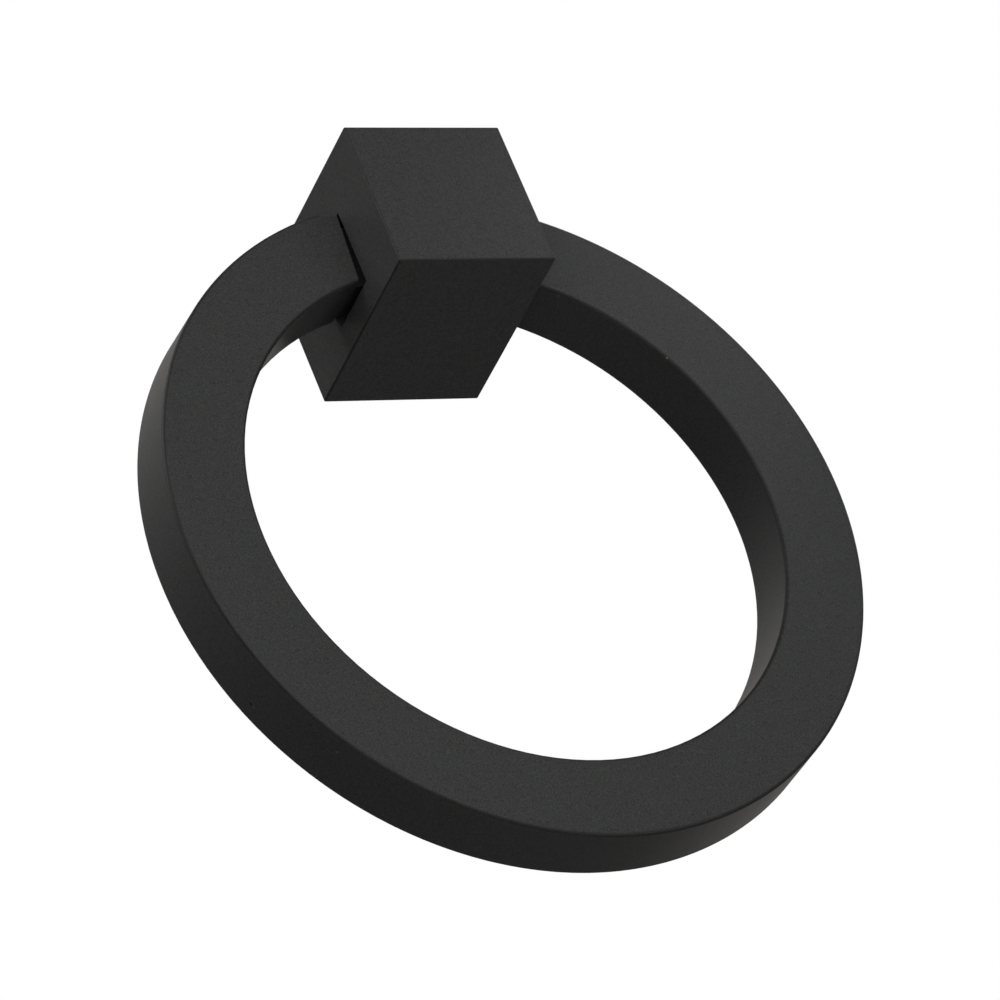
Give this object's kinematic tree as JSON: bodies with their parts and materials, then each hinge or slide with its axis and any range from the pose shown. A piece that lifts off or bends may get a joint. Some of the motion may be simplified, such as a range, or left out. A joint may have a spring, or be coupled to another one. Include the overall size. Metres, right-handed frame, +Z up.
{
  "type": "ring pull handle",
  "caption": "Matte black ring pull: a square post with a wedge slot, and a flat ring, cut back to a neck where it passes the slot, that swings outward from the drawer front.",
  "frame": {"origin": "centre of the post's back face, at the mouth of the tapped screw hole", "axes": "+Y into the drawer front, along the screw; +Z up; +X to the right of a person who faces the drawer"},
  "size_m": [0.0634, 0.0184, 0.0666],
  "materials": {
    "black_coat": "fine satin black powder coat on metal"
  },
  "bodies": {
    "post": {"post": "black_coat"},
    "ring": {"ring": "black_coat"}
  },
  "joints": [
    {"name": "ring_swing", "type": "hinge", "parent": "post", "child": "ring", "pos_m": [0, -0.00941, -0.00095], "axis": [-1, 0, 0], "range_deg": [0, 21.6]}
  ]
}
